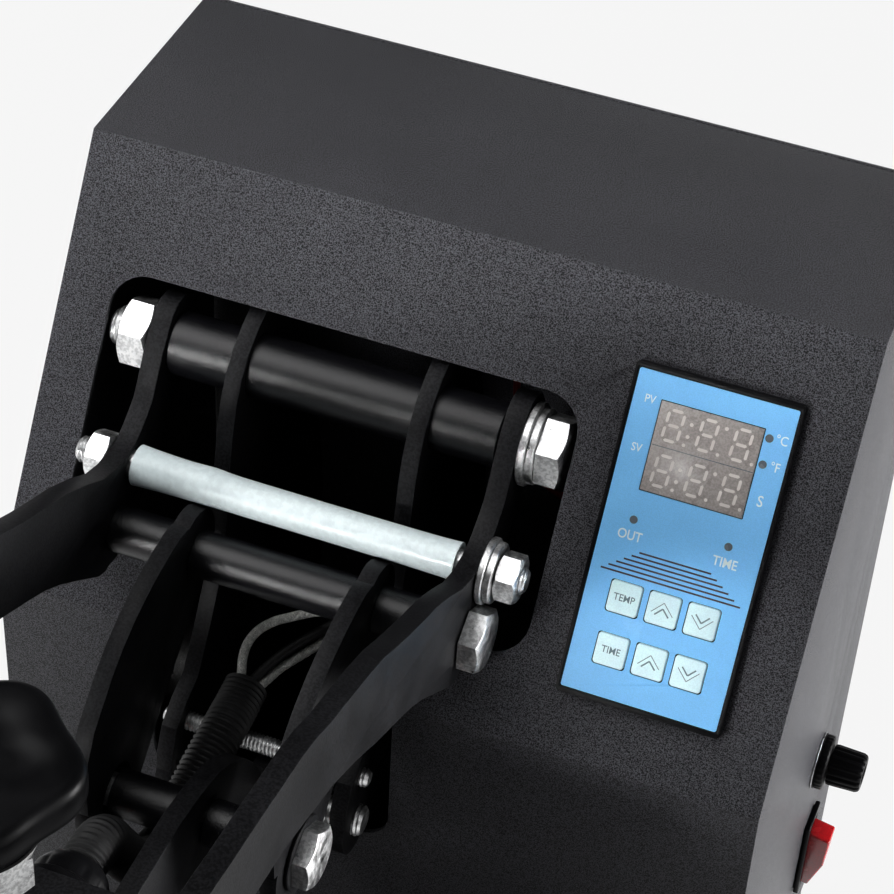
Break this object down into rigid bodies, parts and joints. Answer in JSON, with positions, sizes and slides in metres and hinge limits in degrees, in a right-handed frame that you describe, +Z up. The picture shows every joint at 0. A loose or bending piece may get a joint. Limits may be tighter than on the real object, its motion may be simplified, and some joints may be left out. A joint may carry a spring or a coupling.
{
  "type": "cap heat press",
  "caption": "Toggle heat press for caps: swing handle with links, hooded curved hot shoe over a cap form, sheet housing with a small digital controller.",
  "frame": {"origin": "on the rest plane, under the middle of the press's bounding box", "axes": "+X to the operator's right, +Y to the back, +Z up"},
  "size_m": [0.2502, 0.4694, 0.3374],
  "materials": {
    "black_paint": "satin",
    "housing_paint": "textured",
    "dark_steel": "satin",
    "zinc": "satin",
    "black_plastic": "satin",
    "black_rubber": "matte",
    "pale_sleeve": "satin",
    "blue_face": "satin",
    "display_glass": "polished",
    "key_plastic": "satin",
    "red_plastic": "polished",
    "braid": "matte",
    "aluminium": "satin",
    "board": "matte",
    "silicone": "matte"
  },
  "bodies": {
    "frame": {"base_plate": "black_paint", "foot_front_left": "black_rubber", "foot_front_right": "black_rubber", "foot_back_left": "black_rubber", "foot_back_right": "black_rubber", "frame_plate_left": "black_paint", "frame_plate_right": "black_paint", "arm_pivot_rod": "zinc", "tie_rod": "zinc", "housing_shell": "housing_paint", "housing_back_cover": "housing_paint", "controller_case": "black_plastic", "controller_face": "blue_face", "controller_display": "display_glass", "fuse_holder": "black_plastic", "switch_frame": "black_plastic", "power_inlet": "black_plastic", "form_post": "black_paint", "cap_form": "aluminium", "form_pad": "silicone"},
    "handle": {"handle_arm_left": "black_paint", "handle_arm_right": "black_paint", "handle_bar": "dark_steel", "handle_grip": "black_rubber", "pivot_bolt": "zinc", "pivot_washers": "zinc", "pivot_nut": "zinc", "pivot_tube": "dark_steel", "stop_rod": "zinc", "stop_washers": "zinc", "stop_nut_left": "zinc", "stop_nut_right": "zinc", "stop_sleeve": "pale_sleeve", "link_bolt": "zinc", "link_spacer_left": "dark_steel", "link_spacer_middle": "dark_steel", "link_spacer_right": "dark_steel"},
    "platen": {"platen_arm": "black_paint", "hood": "black_paint", "gland": "black_plastic", "conduit": "black_rubber", "lead_near": "braid", "lead_far": "braid", "shoe_bolt": "zinc", "shoe_spacer_left": "dark_steel", "shoe_spacer_right": "dark_steel"},
    "links": {"link_left": "black_paint", "link_right": "black_paint"},
    "shoe": {"hot_shoe": "aluminium", "shoe_board": "board"},
    "adjuster": {"spindle": "zinc", "star_knob": "black_plastic"},
    "rocker": {"switch_rocker": "red_plastic"},
    "fuse_top": {"fuse_cap": "black_plastic"},
    "temp_key": {"key_temp": "key_plastic"},
    "temp_up_key": {"key_temp_up": "key_plastic"},
    "temp_down_key": {"key_temp_down": "key_plastic"},
    "time_key": {"key_time": "key_plastic"},
    "time_up_key": {"key_time_up": "key_plastic"},
    "time_down_key": {"key_time_down": "key_plastic"}
  },
  "joints": [
    {"name": "handle_swing", "type": "hinge", "parent": "frame", "child": "handle", "pos_m": [-0.03765, 0.1303, 0.2664], "axis": [-1, 0, 0], "range_deg": [0, 38]},
    {"name": "platen_swing", "type": "hinge", "parent": "frame", "child": "platen", "pos_m": [-0.03765, 0.0758, 0.151], "axis": [-1, 0, 0], "range_deg": [0, 17.9], "deforming": ["lead_near", "lead_far"]},
    {"name": "link_swing", "type": "hinge", "parent": "handle", "child": "links", "pos_m": [-0.03765, 0.0863, 0.2304], "axis": [1, 0, 0], "range_deg": [0, 65.8]},
    {"name": "shoe_lift", "type": "slide", "parent": "platen", "child": "shoe", "axis": [0, 0, 1], "range_m": [0, 0.003]},
    {"name": "knob_turn", "type": "hinge", "parent": "shoe", "child": "adjuster", "pos_m": [-0.03765, -0.0812, 0.3], "axis": [0, 0, 1], "range_deg": [0, 720]},
    {"name": "rocker_tip", "type": "hinge", "parent": "frame", "child": "rocker", "pos_m": [0.10635, 0.1928, 0.065], "axis": [0, -1, 0], "range_deg": [0, 22]},
    {"name": "fuse_cap_turn", "type": "hinge", "parent": "frame", "child": "fuse_top", "pos_m": [0.1142, 0.1848, 0.117], "axis": [1, 0, 0], "range_deg": [0, 60]},
    {"name": "temp_key_press", "type": "slide", "parent": "frame", "child": "temp_key", "axis": [0, 0.848, -0.5299], "range_m": [0, 0.0004], "stiffness_N_per_m": 400},
    {"name": "temp_up_key_press", "type": "slide", "parent": "frame", "child": "temp_up_key", "axis": [0, 0.848, -0.5299], "range_m": [0, 0.0004], "stiffness_N_per_m": 400},
    {"name": "temp_down_key_press", "type": "slide", "parent": "frame", "child": "temp_down_key", "axis": [0, 0.848, -0.5299], "range_m": [0, 0.0004], "stiffness_N_per_m": 400},
    {"name": "time_key_press", "type": "slide", "parent": "frame", "child": "time_key", "axis": [0, 0.848, -0.5299], "range_m": [0, 0.0004], "stiffness_N_per_m": 400},
    {"name": "time_up_key_press", "type": "slide", "parent": "frame", "child": "time_up_key", "axis": [0, 0.848, -0.5299], "range_m": [0, 0.0004], "stiffness_N_per_m": 400},
    {"name": "time_down_key_press", "type": "slide", "parent": "frame", "child": "time_down_key", "axis": [0, 0.848, -0.5299], "range_m": [0, 0.0004], "stiffness_N_per_m": 400}
  ],
  "couplings": [
    {"joint": "platen_swing", "follows": "handle_swing", "ratio": 0.4694},
    {"joint": "link_swing", "follows": "handle_swing", "ratio": 1.7297},
    {"joint": "knob_turn", "follows": "shoe_lift", "rad_per_m": 4188.7}
  ]
}
